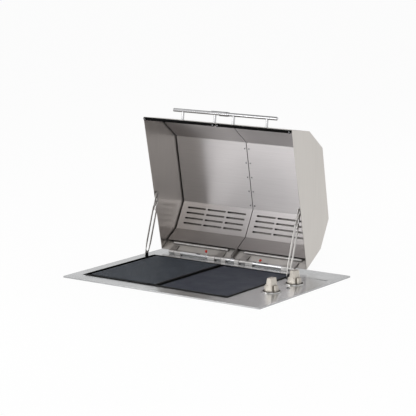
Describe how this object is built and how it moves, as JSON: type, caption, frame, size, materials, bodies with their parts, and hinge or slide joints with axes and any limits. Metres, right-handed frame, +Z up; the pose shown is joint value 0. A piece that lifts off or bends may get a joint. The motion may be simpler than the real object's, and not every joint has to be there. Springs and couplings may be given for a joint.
{
  "type": "built-in electric grill",
  "caption": "Flush-mounted electric grill with side-by-side cast plates, a split folding hood with a bar handle, slotted stays and rotary knobs on the deck.",
  "frame": {"origin": "centre of the deck outline on the plane of the bench top that the deck's flange rests on", "axes": "+X to the right seen from the front, -Y to the front where the cook stands, +Z up"},
  "size_m": [0.86, 0.7107, 0.7148],
  "materials": {
    "deck_steel": "fine brushed along the width",
    "hood_steel": "fine brushed, slightly warm",
    "liner_steel": "bright rolled",
    "satin_steel": "satin",
    "bright_steel": "polished",
    "screw_steel": "plain",
    "casing_steel": "galvanised",
    "tub_steel": "rolled, heat toned",
    "tray_steel": "rolled",
    "frame_steel": "mill finish",
    "bracket_steel": "dark oxide",
    "element_sheath": "dark oxide sheath",
    "plate_iron": "seasoned, matt",
    "bright_chrome": "polished",
    "satin_nickel": "satin nickel",
    "black_rubber": "matt",
    "red_grip": "gloss",
    "lamp_lens": "gloss",
    "ceramic": "unglazed ceramic",
    "thermostat_body": "moulded",
    "wire_sleeve": "silicone sleeve",
    "mineral_board": "pressed mineral fibre"
  },
  "bodies": {
    "base": {"deck_plate": "deck_steel", "flange_seal": "black_rubber", "firebox_tub": "tub_steel", "outer_casing": "casing_steel", "insulation_boards": "mineral_board", "heat_shield": "casing_steel", "plate_support_frame": "frame_steel", "heating_elements": "element_sheath", "element_support_bars": "frame_steel", "element_glands": "ceramic", "thermostats": "thermostat_body", "small_screws": "screw_steel", "terminal_block": "ceramic", "wiring_loom": "wire_sleeve", "cable_inlet_bush": "black_rubber", "service_cover": "casing_steel", "bench_clamps": "casing_steel", "clamp_screws": "screw_steel", "tray_runners": "casing_steel", "hinge_blocks": "satin_steel", "hinge_tubes": "bright_steel", "outer_hinge_pins": "bright_steel", "hinge_screws": "screw_steel", "stay_brackets": "bracket_steel", "knob_bezels": "bright_chrome", "lamp_bezel": "bright_chrome", "lamp_lens": "lamp_lens"},
    "hood_left": {"hood_skin_left": "hood_steel", "hood_end_panel_left": "hood_steel", "hood_liner_left": "liner_steel", "hood_rivets_left": "screw_steel", "rim_seal_left": "black_rubber", "drip_rail_left": "satin_steel", "hinge_knuckles_left": "satin_steel", "handle_bar_left": "bright_steel", "handle_posts_left": "bright_steel"},
    "hood_right": {"hood_skin_right": "hood_steel", "hood_end_panel_right": "hood_steel", "hood_liner_right": "liner_steel", "hood_rivets_right": "screw_steel", "rim_seal_right": "black_rubber", "drip_rail_right": "satin_steel", "hinge_knuckles_right": "satin_steel", "handle_bar_right": "bright_steel", "handle_posts_right": "bright_steel"},
    "sleeve": {"coupling_sleeve": "bright_steel"},
    "stay_left": {"stay_arm_left": "satin_steel"},
    "stay_right": {"stay_arm_right": "satin_steel"},
    "bolt_left": {"hinge_bolt_left": "bright_steel", "bolt_grip_left": "red_grip"},
    "bolt_right": {"hinge_bolt_right": "bright_steel", "bolt_grip_right": "red_grip"},
    "knob_front": {"knob_front": "satin_nickel", "spindle_front": "screw_steel"},
    "knob_rear": {"knob_rear": "satin_nickel", "spindle_rear": "screw_steel"},
    "plate_left": {"plate_ribbed": "plate_iron"},
    "plate_right": {"plate_flat": "plate_iron"},
    "tray": {"drip_tray": "tray_steel"}
  },
  "joints": [
    {"name": "hood_left_hinge", "type": "hinge", "parent": "base", "child": "hood_left", "pos_m": [-0.229, 0.24325, 0.015], "axis": [1, 0, 0], "range_deg": [0, 79.1]},
    {"name": "hood_right_hinge", "type": "hinge", "parent": "base", "child": "hood_right", "pos_m": [0.111, 0.24325, 0.015], "axis": [1, 0, 0], "range_deg": [0, 79.1]},
    {"name": "sleeve_slide", "type": "slide", "parent": "hood_left", "child": "sleeve", "axis": [-1, 0, 0], "range_m": [0, 0.016]},
    {"name": "stay_left_pivot", "type": "hinge", "parent": "base", "child": "stay_left", "pos_m": [-0.38525, 0.14325, 0.014], "axis": [1, 0, 0], "range_deg": [0, 99.6]},
    {"name": "stay_right_pivot", "type": "hinge", "parent": "base", "child": "stay_right", "pos_m": [0.25995, 0.14325, 0.014], "axis": [1, 0, 0], "range_deg": [0, 99.6]},
    {"name": "bolt_left_slide", "type": "slide", "parent": "base", "child": "bolt_left", "axis": [-1, 0, 0], "range_m": [0, 0.044]},
    {"name": "bolt_right_slide", "type": "slide", "parent": "base", "child": "bolt_right", "axis": [1, 0, 0], "range_m": [0, 0.044]},
    {"name": "knob_front_turn", "type": "hinge", "parent": "base", "child": "knob_front", "pos_m": [0.33, -0.076, 0.005], "axis": [0, 0, 1], "range_deg": [-270, 0]},
    {"name": "knob_rear_turn", "type": "hinge", "parent": "base", "child": "knob_rear", "pos_m": [0.33, 0.076, 0.005], "axis": [0, 0, 1], "range_deg": [-270, 0]},
    {"name": "plate_left_lift", "type": "slide", "parent": "base", "child": "plate_left", "axis": [0, 0, 1], "range_m": [0, 0.06]},
    {"name": "plate_right_lift", "type": "slide", "parent": "base", "child": "plate_right", "axis": [0, 0, 1], "range_m": [0, 0.06]},
    {"name": "tray_slide", "type": "slide", "parent": "base", "child": "tray", "axis": [0, -1, 0], "range_m": [0, 0.3]}
  ],
  "couplings": [
    {"joint": "hood_right_hinge", "follows": "hood_left_hinge", "ratio": 1},
    {"joint": "stay_left_pivot", "follows": "hood_left_hinge", "ratio": 1.2584},
    {"joint": "stay_right_pivot", "follows": "hood_left_hinge", "ratio": 1.2584}
  ]
}
